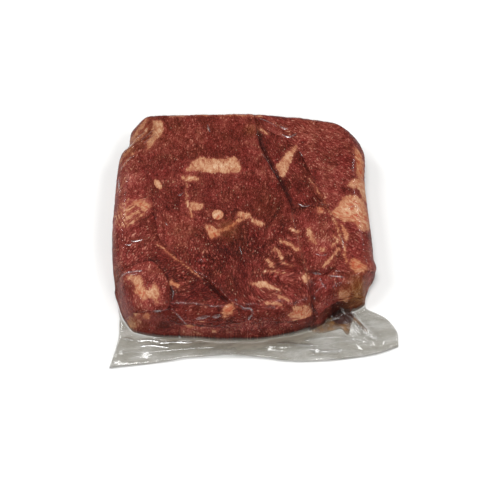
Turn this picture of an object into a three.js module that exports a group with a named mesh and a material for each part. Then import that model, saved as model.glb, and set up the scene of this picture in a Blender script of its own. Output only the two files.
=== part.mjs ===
// A clear vacuum bag packed with tenderized beef steaks, lying flat on its back.
// The film clings to the steaks, so the solid is the bag's outer form: the block of steaks
// with a step and a crease wherever one steak overlaps the next, the wide loose margin of the
// bag in front of it and the short factory seal behind it.
// Millimetres, +Z up, +X to the right and +Y to the back, the bag lying on z = 0.
import * as THREE from "three";

// The block of steaks
const BLOCK_TOP = 32; // height in the middle
const SIDE_FALL = 3; // how much lower it is at its left and right sides
const END_FALL = 1.5; // how much lower it is at its front and back
const BLOCK_MIDDLE = -8; // x of its middle, left of the middle of the margin
const HALF_WIDTH = 92;
const HALF_DEPTH = 88;
const FRONT_REACH = 14; // how far in from its foot the front wall reaches full height
const BACK_REACH = 11;
const LUMP = 0.5; // unevenness of the meat
const STEAK_ROUND = 4.5; // radius of a steak's upper edge
const CREASE_DEPTH = 1.6; // how far the film is drawn down beside a steak's edge
const CREASE_WIDTH = 2.6;
const FILM_BLEND = 0.6; // how softly the film passes from steak to steak
const LOWEST_RISE = -9; // height of whatever shows between the steaks
const LAYER_PINCH = 2.2; // depth of the groove between the two layers of steaks at the sides
const LAYER_PINCH_ANGLE = 0.25; // how far round the side the groove reaches, in radians

// The film beyond the block
const MARGIN_THICK = 1.2; // two films with the air and juice between them
const MARGIN_LIFT = 3; // how far the middle of the front edge stands off the table
const MARGIN_LIFT_X = -12;
const MARGIN_LIFT_WIDTH = 30;
const RIPPLE_LIFT = 0.8; // small waves of the front edge
const RIPPLE_LENGTH = 11;

// Plan outline of the bag: x for each y along the sides, from back to front, and y for each x
// along the ends and along the feet of the block's back and front walls, from left to right
const LEFT = [
  [102.5, -60], [98, -64], [95, -69], [91, -78], [83, -86], [75, -90.3], [65, -91],
  [58, -95.8], [50, -97.6], [18, -98.9], [-2, -99.2], [-34, -97.4], [-46, -95.6], [-58, -92.6],
  [-66, -91], [-78, -91], [-92, -93.4], [-102, -96.2],
];
const RIGHT = [
  [98.5, 53], [94, 57], [89, 61], [83, 67.5], [76, 74.5], [66, 81], [55, 83.8], [31, 82.4],
  [10, 83.4], [-18, 85], [-30, 85.4], [-35, 86.8], [-40, 85.2], [-46, 81], [-52, 78.6],
  [-57, 78.2], [-62.5, 87.3], [-66.5, 92.8], [-72.5, 97.2], [-78, 99.4], [-86, 99],
];
const BACK_EDGE = [[-64, 101.5], [-40, 102.4], [0, 102.4], [28, 100.5], [53, 98]];
const BACK_FOOT = [[-100, 94.2], [-5, 95], [28, 92.8], [50, 90.2], [62, 88.2], [90, 83]];
const FRONT_FOOT = [
  [-100, -38], [-96, -47], [-91, -60], [-87, -68], [-80.5, -75.4], [-60, -79.4], [-40, -80.4],
  [-22, -81.6], [-2, -81.6], [25, -78], [45.6, -71], [60, -61], [70, -59.5], [78, -55],
  [86, -48],
];
const FRONT_EDGE = [
  [-97, -102.4], [-69.5, -99], [-55, -97], [-43, -95], [-26, -94.2], [-6, -94.2], [8, -95.2],
  [21, -97], [31.4, -97.5], [45, -97.2], [68.5, -94.7], [82, -92.5], [96, -87.8], [100, -86],
];

// Height of the sides' outermost line for each y: between the two layers of steaks along the
// block, and down on the table along the margins
const LEFT_EDGE_Z = [
  [102.5, 2], [96, 3], [88, 9], [80, 14], [70, 15], [42, 16.5], [12, 14], [-18, 15.5],
  [-38, 14.5], [-50, 10], [-60, 3.6], [-66, 1.4], [-102, 0.6],
];
const RIGHT_EDGE_Z = [
  [98, 2], [91, 4], [82, 12], [74, 14.5], [45, 16], [12, 17], [-15, 14.5], [-30, 14],
  [-43, 11], [-53, 4], [-58, 1.6], [-86, 0.6],
];

// The steaks, lowest first, each with the height of its top above or below the block's. An
// outline is a closed curve through a few points. What lies under a higher steak or past the
// block's walls is only roughly given.
const STEAKS = [
  { at: "front", rise: -6,
    outline: [[-66, -60], [-60, -90], [0, -92], [56, -82], [56, -50], [0, -40]] },
  { at: "front left", rise: -10,
    outline: [[-104, -40], [-100, -84], [-60, -90], [-50, -70], [-60, -46]] },
  { at: "front right", rise: -15,
    outline: [[40, -40], [40, -84], [66, -72], [92, -64], [92, -34]] },
  { at: "right middle", rise: -2.4,
    outline: [[10, 24], [24, 14], [60, 16], [70, -20], [58, -40], [40, -54], [20, -40]] },
  { at: "left wedge", rise: -2.6,
    outline: [[-68, -14], [-50, -18], [0, -58], [4, -76], [-56, -76], [-72, -44]] },
  { at: "left", rise: -0.8,
    outline: [
      [-70, 66], [-92, 66], [-110, 52], [-112, -42], [-100, -62], [-76, -46], [-66, -18],
      [-56, 10], [-62, 40],
    ] },
  { at: "back left", rise: -2.4,
    outline: [[-50, 100], [-100, 100], [-100, 66], [-84, 57], [-66, 64], [-50, 80]] },
  { at: "right strip", rise: -1.2,
    outline: [
      [-6, 96], [40, 92], [46, 60], [56, 12], [46, 8.2], [34, 6.6], [20, 7.4], [0, 50],
    ] },
  { at: "lower right", rise: -2,
    outline: [
      [36, -46.5], [50, -45], [64, -36], [94, -32], [86, -52], [66, -58.5], [54, -67],
      [43, -78], [34, -66],
    ] },
  { at: "right", rise: 0,
    outline: [
      [4, 98], [50, 98], [92, 78], [96, 0], [98, -38], [80, -41], [57, -44], [61, -23],
      [58.7, -7], [48.5, 17.4], [40, 38.4], [30, 60], [8, 76],
    ] },
  { at: "left front", rise: 0.4,
    outline: [
      [-112, -60], [-98, -49], [-85, -40.5], [-70, -35.5], [-62, -42], [-56, -53],
      [-53.8, -64], [-58, -71], [-78, -71.5], [-100, -71],
    ] },
  { at: "middle", rise: 1.2,
    outline: [
      [-64, 100], [-6, 100], [2.6, 80], [6.8, 59], [15.8, 37], [26, 12], [30.8, -16],
      [36.5, -45], [39.5, -62], [38, -76], [0, -76.5], [-9, -73.5], [-31, -51.4],
      [-49.7, -35.3], [-64, -18], [-69, 8], [-76, 36], [-82, 54], [-72, 64],
    ] },
];
const CURVE_STEPS = 120;
const CURVE_TENSION = 0.5;

// Ridges of folded film on the margin, each from its root at the block outwards
const FOLDS = [
  { from: [60, -57], to: [76, -84], height: 2.4, width: 5 },
  { from: [66, -58], to: [85, -82], height: 2, width: 4.5 },
  { from: [-85, -68], to: [-93, -98], height: 1.8, width: 5 },
  { from: [12, -87], to: [42, -89], height: 1.2, width: 4.5 },
];
const FOLD_END = 9; // a fold fades out over this distance from the margin's edge

// The grid of the surface. Rows run from left to right and columns from back to front.
const SPACING = 3.4;
const INNER_COLUMNS = 46;
const RIM_ANGLES = [0, 20, 42, 64].map(THREE.MathUtils.degToRad);
const SEAL_ROWS = [0, 0.12, 0.45, 0.7, 0.88]; // share of the way from the back edge to the foot
const WALL_ROWS = [0, 0.6, 2.2, 4.6, 8, 11.5]; // distance in from the foot of a wall
const MARGIN_ROWS = [0.08, 0.18, 0.3, 0.44, 0.58, 0.72, 0.85, 0.94, 1];

const { clamp, lerp, smoothstep } = THREE.MathUtils;

// A smooth curve through [t, value] pairs that never overshoots them
function profile(pairs) {
  const p = [...pairs].sort((a, b) => a[0] - b[0]);
  const slope = p.slice(1).map((b, i) => (b[1] - p[i][1]) / (b[0] - p[i][0]));
  const tangent = p.map((_, i) => {
    if (i === 0) return slope[0];
    if (i === p.length - 1) return slope[i - 1];
    const product = slope[i - 1] * slope[i];
    return product <= 0 ? 0 : (2 * product) / (slope[i - 1] + slope[i]);
  });
  return (t) => {
    if (t <= p[0][0]) return p[0][1];
    if (t >= p.at(-1)[0]) return p.at(-1)[1];
    const i = p.findIndex((q) => q[0] > t) - 1;
    const width = p[i + 1][0] - p[i][0];
    const s = (t - p[i][0]) / width;
    const start = 2 * s ** 3 - 3 * s ** 2 + 1;
    const leaving = (s ** 3 - 2 * s ** 2 + s) * width * tangent[i];
    const arriving = (s ** 3 - s ** 2) * width * tangent[i + 1];
    return start * p[i][1] + (1 - start) * p[i + 1][1] + leaving + arriving;
  };
}

const leftX = profile(LEFT);
const rightX = profile(RIGHT);
const leftZ = profile(LEFT_EDGE_Z);
const rightZ = profile(RIGHT_EDGE_Z);
const backEdge = profile(BACK_EDGE);
const backFoot = profile(BACK_FOOT);
const frontFoot = profile(FRONT_FOOT);
const frontEdge = profile(FRONT_EDGE);

function distanceToSegment(x, y, [ax, ay], [bx, by]) {
  const length2 = (bx - ax) ** 2 + (by - ay) ** 2;
  const t = clamp(((x - ax) * (bx - ax) + (y - ay) * (by - ay)) / length2, 0, 1);
  return Math.hypot(x - lerp(ax, bx, t), y - lerp(ay, by, t));
}

// Distance to a closed outline, positive inside it
function insideDistance(x, y, outline) {
  let nearest = Infinity;
  let inside = false;
  outline.forEach((b, i) => {
    const a = outline.at(i - 1);
    nearest = Math.min(nearest, distanceToSegment(x, y, a, b));
    const spansY = a[1] > y !== b[1] > y;
    if (spansY && x < a[0] + ((b[0] - a[0]) * (y - a[1])) / (b[1] - a[1])) inside = !inside;
  });
  return inside ? nearest : -nearest;
}

// Distance in from the foot of a wall, negative out on the film beyond it
function footDistance(foot, inward) {
  const xs = Array.from({ length: 81 }, (_, i) => lerp(-100, 100, i / 80));
  const line = xs.map((x) => [x, foot(x)]);
  return (x, y) => {
    const distances = line.slice(1).map((b, i) => distanceToSegment(x, y, line[i], b));
    const isInside = (y - foot(x)) * inward >= 0;
    return Math.min(...distances) * (isInside ? 1 : -1);
  };
}
const frontDistance = footDistance(frontFoot, 1);
const backDistance = footDistance(backFoot, -1);

function closedCurve(points) {
  const corners = points.map(([x, y]) => new THREE.Vector3(x, y, 0));
  const curve = new THREE.CatmullRomCurve3(corners, true, "catmullrom", CURVE_TENSION);
  return curve.getPoints(CURVE_STEPS).slice(0, -1).map((p) => [p.x, p.y]);
}
const steaks = STEAKS.map(({ rise, outline }) => ({ rise, curve: closedCurve(outline) }));

// Height of a steak whose rise is zero, away from its edges
function generalTop(x, y) {
  const sideFall = SIDE_FALL * ((x - BLOCK_MIDDLE) / HALF_WIDTH) ** 2;
  const endFall = END_FALL * (y / HALF_DEPTH) ** 2;
  const lumps = LUMP * Math.sin(x / 15 + 1.3) * Math.cos(y / 19 + 0.4);
  return BLOCK_TOP - sideFall - endFall + lumps;
}

// How far a steak's top has come down, by the distance inside its outline
function edgeDrop(inside) {
  if (inside < 0) return STEAK_ROUND - 2 * inside;
  const t = 1 - Math.min(inside / STEAK_ROUND, 1);
  return STEAK_ROUND * (1 - Math.sqrt(1 - t * t));
}

// The larger of two heights, with the change from one to the other rounded
function softMax(a, b, blend) {
  const t = clamp(0.5 + (a - b) / (2 * blend), 0, 1);
  return lerp(b, a, t) + blend * t * (1 - t);
}

// Height of the film over the steaks, laid from the lowest to the highest. Each steak presses
// a crease into what it lies on, just outside its own rounded edge.
function steakTop(x, y) {
  const top = generalTop(x, y);
  return steaks.reduce((z, { rise, curve }) => {
    const inside = insideDistance(x, y, curve);
    const crease = CREASE_DEPTH * Math.exp(-((inside / CREASE_WIDTH) ** 2));
    return softMax(z - crease, top + rise - edgeDrop(inside), FILM_BLEND);
  }, top + LOWEST_RISE);
}

// Share of the full height that a wall has, t of its reach in from its foot: round above, and
// drawn out into the margin in a short hollow curve below
const HOLLOW_TOP = 0.06;
const HOLLOW_LENGTH = 0.246;
function wallShare(t) {
  const round = (s) => Math.sqrt(1 - (1 - Math.min(s, 1)) ** 2);
  if (t > HOLLOW_TOP) return round(t);
  const along = Math.max(1 - (HOLLOW_TOP - t) / HOLLOW_LENGTH, 0);
  return round(HOLLOW_TOP) * along ** 2;
}

// Height of the underside of the front margin
function marginLift(x, y) {
  const start = frontFoot(x) - 3;
  const out = clamp((start - y) / (start - frontEdge(x)), 0, 1);
  const wave = MARGIN_LIFT * Math.exp(-(((x - MARGIN_LIFT_X) / MARGIN_LIFT_WIDTH) ** 2));
  const ripple = RIPPLE_LIFT * Math.sin(x / RIPPLE_LENGTH) ** 2;
  return (wave + ripple) * out ** 2;
}

function foldHeight(x, y) {
  const fade = smoothstep(y - frontEdge(x), 2, FOLD_END);
  const heights = FOLDS.map(({ from, to, height, width }) => {
    const d = distanceToSegment(x, y, from, to) / width;
    return height * Math.exp(-2 * d * d);
  });
  return fade * Math.max(...heights);
}

// Height of the upper film
function topHeight(x, y) {
  const front = frontDistance(x, y) / FRONT_REACH;
  const back = backDistance(x, y) / BACK_REACH;
  const share = wallShare(Math.min(front, back));
  const margin = MARGIN_THICK + marginLift(x, y) + foldHeight(x, y) * (1 - share);
  return lerp(margin, steakTop(x, y), share);
}

// Each row gives y for any x, and says whether it lies on the steaks' tops
function gridRows() {
  const deepest = WALL_ROWS.at(-1);
  const topRows = Math.round((2 * HALF_DEPTH - 2 * deepest) / SPACING);
  const topShares = Array.from({ length: topRows - 1 }, (_, i) => (i + 1) / topRows);
  const seal = SEAL_ROWS.map((t) => (x) => lerp(backEdge(x), backFoot(x), t));
  const backWall = WALL_ROWS.map((w) => (x) => backFoot(x) - w);
  const top = topShares.map((t) => (x) => lerp(backFoot(x) - deepest, frontFoot(x) + deepest, t));
  const frontWall = [...WALL_ROWS].reverse().map((w) => (x) => frontFoot(x) + w);
  const margin = MARGIN_ROWS.map((t) => (x) => lerp(frontFoot(x), frontEdge(x), t));
  return [
    ...seal.map((y) => ({ y, onTop: false })),
    ...backWall.map((y) => ({ y, onTop: true })),
    ...top.map((y) => ({ y, onTop: true })),
    ...frontWall.map((y) => ({ y, onTop: true })),
    ...margin.map((y) => ({ y, onTop: false })),
  ];
}

// Columns at the left and right rims go by their angle round it, and those between them by
// their share of the way across
function gridColumns() {
  const shares = Array.from({ length: INNER_COLUMNS + 1 }, (_, i) => i / INNER_COLUMNS);
  return [
    ...RIM_ANGLES.map((angle) => ({ side: "left", angle })),
    ...shares.map((share) => ({ side: null, share })),
    ...[...RIM_ANGLES].reverse().map((angle) => ({ side: "right", angle })),
  ];
}

const rimWidth = (edgeZ) => 0.9 + 0.8 * edgeZ;

// Where a column crosses a given y: its x, the height of the rim there, and how much of the
// way from that height to the full top or bottom it has come
function columnAt({ side, angle, share }, y) {
  if (!side) {
    const left = leftX(y) + rimWidth(leftZ(y));
    const right = rightX(y) - rimWidth(rightZ(y));
    return { x: lerp(left, right, share), edgeZ: 0, rise: 1 };
  }
  const edgeZ = side === "left" ? leftZ(y) : rightZ(y);
  const groove = Math.exp(-((angle / LAYER_PINCH_ANGLE) ** 2)) * smoothstep(edgeZ, 8, 14);
  const inset = rimWidth(edgeZ) * (1 - Math.cos(angle)) + LAYER_PINCH * groove;
  const x = side === "left" ? leftX(y) + inset : rightX(y) - inset;
  return { x, edgeZ, rise: Math.sin(angle) };
}

// Where a row and a column cross, found by settling between the two curves
function crossing(row, column) {
  let y = 0;
  for (let i = 0; i < 60; i++) y += 0.35 * (row.y(columnAt(column, y).x) - y);
  return { y, ...columnAt(column, y) };
}

// Points near a steak's edge are moved on to it, or on to the lines one spacing to either
// side, so that its crease runs clean. Where the edge runs more along y they move along their
// row, and where it runs more along x along their column, though never so on a wall.
function settleOnEdge(point, row) {
  const { x, y } = point;
  const step = 0.2;
  const isCovered = (i) => steaks.slice(i + 1).some(({ curve }) => insideDistance(x, y, curve) > 0);
  const [nearest] = steaks
    .map(({ curve }, i) => ({ curve, i, inside: insideDistance(x, y, curve) }))
    .filter(({ i, inside }) => Math.abs(inside) < 1.5 * SPACING && !isCovered(i))
    .sort((a, b) => Math.abs(a.inside) - Math.abs(b.inside));
  if (!nearest) return point;
  const { curve, inside } = nearest;
  const slopeX = (insideDistance(x + step, y, curve) - inside) / step;
  const slopeY = (insideDistance(x, y + step, curve) - inside) / step;
  const isAlongRow = Math.abs(slopeX) >= Math.abs(slopeY);
  const isOnWall = Math.min(frontDistance(x, y), backDistance(x, y)) < FRONT_REACH;
  const slope = isAlongRow ? slopeX : slopeY;
  const lineSpacing = SPACING * Math.abs(slope);
  const line = Math.round(inside / lineSpacing);
  if (Math.abs(slope) < 0.5 || Math.abs(line) > 1 || (isOnWall && !isAlongRow)) return point;
  const move = (line * lineSpacing - inside) / slope;
  if (isAlongRow) return { ...point, x: x + move, y: row.y(x + move) };
  return { ...point, y: y + move };
}

// Every crossing of a row and a column, with the heights of the upper and lower film there
function surfaceGrid() {
  const rows = gridRows();
  const columns = gridColumns();
  const rim = RIM_ANGLES.length;
  return rows.map((row, i) =>
    columns.map((column, j) => {
      const isInner = j > rim + 1 && j < columns.length - 2 - rim;
      const crossed = crossing(row, column);
      const { x, y, edgeZ, rise } = row.onTop && isInner ? settleOnEdge(crossed, row) : crossed;
      const lift = marginLift(x, y);
      const filmMiddle = lift + MARGIN_THICK / 2;
      const isEnd = i === 0 || i === rows.length - 1;
      if (isEnd) return { x, y, top: filmMiddle, bottom: filmMiddle };
      const edge = Math.max(edgeZ, filmMiddle);
      return { x, y, top: lerp(edge, topHeight(x, y), rise), bottom: lerp(edge, lift, rise) };
    }),
  );
}

// One closed body from the grid: the top, the same grid's underside round the rim and under
// the film beyond the block, and one flat face under the block
function closedBody(grid) {
  const lastRow = grid.length - 1;
  const lastColumn = grid[0].length - 1;
  const positions = [];
  const index = [];
  const addPoint = (x, y, z) => positions.push(x, y, z) / 3 - 1;
  const isRim = (i, j) => i === 0 || j === 0 || i === lastRow || j === lastColumn;
  const tops = grid.map((row) => row.map(({ x, y, top }) => addPoint(x, y, top)));
  const bottoms = grid.map((row, i) =>
    row.map(({ x, y, bottom }, j) => (isRim(i, j) ? tops[i][j] : addPoint(x, y, bottom))),
  );
  const heightOf = (point) => positions[3 * point + 2];

  // Two triangles, split along whichever diagonal is nearer level
  const addQuad = (a, b, c, d) => {
    const splitAC = Math.abs(heightOf(a) - heightOf(c)) <= Math.abs(heightOf(b) - heightOf(d));
    index.push(...(splitAC ? [a, b, c, a, c, d] : [a, b, d, b, c, d]));
  };
  const flat = {
    back: SEAL_ROWS.length - 1,
    front: lastRow - MARGIN_ROWS.length - 1,
    left: RIM_ANGLES.length,
    right: lastColumn - RIM_ANGLES.length,
  };
  for (let i = 0; i < lastRow; i++) {
    for (let j = 0; j < lastColumn; j++) {
      addQuad(tops[i][j], tops[i + 1][j], tops[i + 1][j + 1], tops[i][j + 1]);
      const isFlat = i >= flat.back && i < flat.front && j >= flat.left && j < flat.right;
      if (!isFlat) addQuad(bottoms[i][j], bottoms[i][j + 1], bottoms[i + 1][j + 1], bottoms[i + 1][j]);
    }
  }

  // The flat face is a fan from its middle to its edge, taken clockwise from above
  const edge = [];
  for (let j = flat.left; j < flat.right; j++) edge.push(bottoms[flat.back][j]);
  for (let i = flat.back; i < flat.front; i++) edge.push(bottoms[i][flat.right]);
  for (let j = flat.right; j > flat.left; j--) edge.push(bottoms[flat.front][j]);
  for (let i = flat.front; i > flat.back; i--) edge.push(bottoms[i][flat.left]);
  edge.forEach((point) => (positions[3 * point + 2] = 0));
  const middle = addPoint(BLOCK_MIDDLE, 0, 0);
  edge.forEach((point, k) => index.push(middle, point, edge[(k + 1) % edge.length]));

  const geometry = new THREE.BufferGeometry();
  geometry.setAttribute("position", new THREE.Float32BufferAttribute(positions, 3));
  geometry.setIndex(index);
  return geometry;
}

// The bag, with its outer box centred on the origin and its underside on z = 0
function vacuumBag() {
  const geometry = closedBody(surfaceGrid());
  geometry.computeBoundingBox();
  const middle = geometry.boundingBox.getCenter(new THREE.Vector3());
  geometry.translate(-middle.x, -middle.y, -geometry.boundingBox.min.z);
  geometry.computeVertexNormals();
  const beefUnderFilm = new THREE.MeshStandardMaterial({ color: 0x6b2f28, roughness: 0.25 });
  const bag = new THREE.Mesh(geometry, beefUnderFilm);
  bag.name = "vacuum_bag";
  return bag;
}

const pack = new THREE.Group();
pack.add(vacuumBag());
export default pack;
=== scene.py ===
# A clear vacuum bag packed with tenderized beef steaks, lying flat on its back. Each steak is
# a closed body of its own in one of two layers, with the film drawn tight over all of them.
# Lengths in the values below are in millimetres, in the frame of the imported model.
import math
from collections import namedtuple
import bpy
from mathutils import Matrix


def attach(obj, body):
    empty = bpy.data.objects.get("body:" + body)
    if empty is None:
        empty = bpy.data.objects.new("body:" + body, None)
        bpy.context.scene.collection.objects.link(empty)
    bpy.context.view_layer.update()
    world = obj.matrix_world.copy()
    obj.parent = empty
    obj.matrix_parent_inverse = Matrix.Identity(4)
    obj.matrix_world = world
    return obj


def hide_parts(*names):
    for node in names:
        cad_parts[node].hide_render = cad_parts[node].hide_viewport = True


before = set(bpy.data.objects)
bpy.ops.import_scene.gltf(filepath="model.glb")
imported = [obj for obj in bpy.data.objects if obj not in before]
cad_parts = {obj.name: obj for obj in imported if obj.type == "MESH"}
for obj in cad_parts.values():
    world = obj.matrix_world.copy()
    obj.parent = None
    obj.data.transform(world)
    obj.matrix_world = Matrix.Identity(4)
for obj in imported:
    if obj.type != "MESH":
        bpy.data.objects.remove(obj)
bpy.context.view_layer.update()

from types import SimpleNamespace

import bpy
import numpy as np
from mathutils import Vector
from mathutils.kdtree import KDTree

MM = 0.001

# The block of steaks
BLOCK_TOP = 32
SIDE_FALL = 3
END_FALL = 1.5
BLOCK_MIDDLE = -8
HALF_WIDTH = 92
HALF_DEPTH = 88
FRONT_REACH = 14
BACK_REACH = 11
LUMP = 0.5
LUMP_LENGTH, LUMP_DEPTH = 15, 19
DOME = 1.1  # how much higher the middle steak is than its edges
DOME_X, DOME_Y = -14, 4
DOME_LENGTH, DOME_DEPTH = 46, 62
STEAK_ROUND = 3.2
UNDER_ROUND = 8  # how far in from its edge a steak's underside has come down
CREASE_DEPTH = 1.5
CREASE_WIDTH = 1.5
FILM_BLEND = 0.6
LOWEST_RISE = -9
LAYER_PINCH = 2.2
LAYER_PINCH_ANGLE = 0.25
LAYER_Z = 15.5  # height at which the two layers meet, away from the sides
LAYER_REACH = 12  # how far in from the sides that height settles
LAYER_GAP = 0.15  # from that height to the underside of the upper layer
LAYER_GROOVE = 2.4  # half the height of the groove between the layers
MEAT_GROOVE = 1.2  # its depth in the meat
FILM_GROOVE = 0.8  # its depth in the film
RIM_LEAST = 0.9  # how wide the rounded side is where the block is thinnest
RIM_GROWTH = 0.8
TUCK = 5  # how far one steak reaches under the edge of the next
SEAM_OVERLAP = 1.2  # how far in under a steak's edge the next one is still at its own height
FILM_GAP = 0.22  # from the film to the meat
LEAST = 0.1  # the least thickness of a steak, and gap between two
FINE_RELIEF = 0.16
BROAD_RELIEF = 0.1
# Painted shade in the creases: how much the meat is darkened beside the edge of a steak lying over it
PAINTED_CREASE_SHADE = 0.5  # how much darker the meat is at an edge
FAT_LIMIT = 6

# The film beyond the block
MARGIN_THICK = 1.2
MARGIN_FLAT = 3  # from the block's foot to where the margin lifts
MARGIN_LIFT = 3
MARGIN_LIFT_X = -12
MARGIN_LIFT_WIDTH = 30
RIPPLE_LIFT = 0.8
RIPPLE_LENGTH = 11
PILLOW = 1.8  # how far the upper film of the margin stands off the lower one

# Plan outline of the bag: x for each y along the sides, and y for each x along the ends and
# along the feet of the block's walls
LEFT = [
    (102.5, -60), (98, -64), (95, -69), (91, -78), (83, -86), (75, -90.3), (65, -91), (58, -95.8),
    (50, -97.6), (18, -98.9), (-2, -99.2), (-34, -97.4), (-46, -95.6), (-58, -92.6), (-66, -91),
    (-78, -91), (-92, -93.4), (-102, -96.2),
]
RIGHT = [
    (98.5, 53), (94, 57), (89, 61), (83, 67.5), (76, 74.5), (66, 81), (55, 83.8), (31, 82.4),
    (10, 83.4), (-18, 85), (-30, 85.4), (-35, 86.8), (-40, 85.2), (-46, 81), (-52, 78.6), (-57, 78.2),
    (-62.5, 87.3), (-66.5, 92.8), (-72.5, 97.2), (-78, 99.4), (-86, 99),
]
BACK_EDGE = [(-64, 101.5), (-40, 102.4), (0, 102.4), (28, 100.5), (53, 98)]
BACK_FOOT = [(-100, 94.2), (-5, 95), (28, 92.8), (50, 90.2), (62, 88.2), (90, 83)]
FRONT_FOOT = [
    (-100, -38), (-96, -47), (-91, -60), (-87, -68), (-80.5, -75.4), (-60, -79.4), (-40, -80.4),
    (-22, -81.6), (-2, -81.6), (25, -78), (45.6, -71), (60, -61), (70, -59.5), (78, -55), (86, -48),
]
FRONT_EDGE = [
    (-97, -102.4), (-69.5, -99), (-55, -97), (-43, -95), (-26, -94.2), (-6, -94.2), (8, -95.2),
    (21, -97), (31.4, -97.5), (45, -97.2), (68.5, -94.7), (82, -92.5), (96, -87.8), (100, -86),
]
LEFT_EDGE_Z = [
    (102.5, 2), (96, 3), (88, 9), (80, 14), (70, 15), (42, 16.5), (12, 14), (-18, 15.5), (-38, 14.5),
    (-50, 10), (-60, 3.6), (-66, 1.4), (-102, 0.6),
]
RIGHT_EDGE_Z = [
    (98, 2), (91, 4), (82, 12), (74, 14.5), (45, 16), (12, 17), (-15, 14.5), (-30, 14), (-43, 11),
    (-53, 4), (-58, 1.6), (-86, 0.6),
]

# The steaks, lowest first: the layer, the height of the top above the block's, the grain's
# direction in degrees from +X, how light the meat is, how firmly the edge is marked, from 0,
# flush with its neighbours, to 1, spots of x, y, radius and amount where it is firmer or softer,
# and the outline in plan.
LOWER, UPPER = "lower", "upper"
Steak = namedtuple("Steak", "at layer rise grain light firm spots outline")
STEAKS = [
    Steak("lower_back_left", LOWER, -16.5, 80, 1.0, 0.6, [],
        [(-125, -30), (-125, 40), (-120, 115), (-30, 115), (-14, 60), (-10, 20), (-18, -10),
         (-60, -18)]),
    Steak("lower_back_right", LOWER, -16.5, 20, 0.9, 0.6, [],
        [(-18, -10), (-10, 20), (-14, 60), (-30, 115), (60, 115), (110, 90), (120, 0), (110, -36),
         (60, -30), (20, -6)]),
    Steak("front_right", LOWER, -15, 30, 0.8, 0.5, [],
        [(36, -14), (36, -84), (66, -72), (92, -64), (120, -40), (110, -20), (60, -14)]),
    Steak("front_left", LOWER, -9, 70, 0.95, 0.4, [],
        [(-125, -12), (-110, -60), (-100, -84), (-60, -92), (-44, -79), (-49, -74), (-54, -66),
         (-56, -30), (-62, -8)]),
    Steak("front", LOWER, -5, 90, 0.95, 0.35, [],
        [(-56, -8), (-54, -60), (-52, -70), (-48, -76), (-50, -90), (0, -92), (56, -84), (50, -50),
         (44, -8), (0, 0)]),
    Steak("right_middle", UPPER, 0, 75, 1.0, 0.15, [],
        [(10, 24), (24, 14), (60, 16), (70, -20), (58, -40), (40, -54), (20, -40)]),
    Steak("left_wedge", UPPER, 0.1, 15, 0.85, 0.1, [],
        [(-68, -14), (-50, -18), (0, -58), (4, -76), (-56, -76), (-72, -44)]),
    Steak("left", UPPER, 0.2, 60, 1.08, 0.06, [],
        [(-70, 66), (-92, 66), (-110, 52), (-112, -42), (-100, -62), (-76, -46), (-66, -18), (-56, 10),
         (-62, 40)]),
    Steak("back_left", UPPER, 0, 45, 1.0, 0.15, [],
        [(-50, 100), (-100, 100), (-100, 66), (-84, 57), (-66, 64), (-50, 80)]),
    Steak("right_strip", UPPER, 0, 110, 0.85, 0.2, [(48, 8, 12, 0.35)],
        [(-6, 96), (40, 92), (46, 60), (56, 12), (46, 8.2), (34, 6.6), (20, 7.4), (0, 50)]),
    Steak("lower_right", UPPER, -0.4, 70, 1.1, 0.2, [(44, -62, 12, 0.4), (60, -62, 12, 0.4)],
        [(36, -46.5), (50, -45), (64, -36), (94, -32), (86, -52), (66, -58.5), (54, -67), (43, -78),
         (34, -66)]),
    Steak("right", UPPER, 0.1, -30, 1.06, 0.12, [(50, 14, 14, 0.15), (60, -15, 14, 0.05)],
        [(4, 98), (50, 98), (92, 78), (96, 0), (98, -38), (80, -41), (57, -44), (61, -23), (58.7, -7),
         (48.5, 17.4), (40, 38.4), (30, 60), (8, 76)]),
    Steak("left_front", UPPER, 0.2, 80, 1.08, 0.25, [(-56, -60, 10, 0.2)],
        [(-112, -60), (-98, -49), (-85, -40.5), (-70, -35.5), (-62, -42), (-56, -53), (-53.8, -64),
         (-58, -71), (-78, -71.5), (-100, -71)]),
    Steak("middle", UPPER, 0.3, 92, 1.0, 0.2,
        [(7, 62, 12, 0.5), (14, 40, 14, 0.6), (24, 16, 14, 0.6), (30, -8, 16, -0.1), (38, -58, 12, 0.5),
         (40, -74, 8, 0.3), (-66, 4, 10, 0.15), (-22, -58, 13, 0.5), (-50, -36, 18, -0.05),
         (-82, 54, 26, -0.2), (-74, 28, 16, -0.15), (-66, 80, 26, -0.2), (0, 94, 16, -0.25),
         (-12, -80, 24, -0.2)],
        [(-64, 100), (-6, 100), (2.6, 80), (6.8, 59), (15.8, 37), (26, 12), (30.8, -16), (36.5, -45),
         (39.5, -62), (38, -76), (0, -76.5), (-9, -73.5), (-31, -51.4), (-49.7, -35.3), (-64, -18),
         (-69, 8), (-76, 36), (-82, 54), (-72, 64)]),
]
CURVE_STEPS = 10  # between one point of an outline and the next

# Spots of x, y, radius and amount where a steak lies lower than the rest of it
DIPS = {
    "left_wedge": [(-22, -64, 20, -1.8), (-48, -68, 12, -0.8)],
    "right_strip": [(20, 44, 24, -1.3), (34, 14, 16, -0.8)],
    "right_middle": [(30, -12, 10, -0.5)],
    "lower_right": [(50, -56, 14, -1.6)],
}

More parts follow.
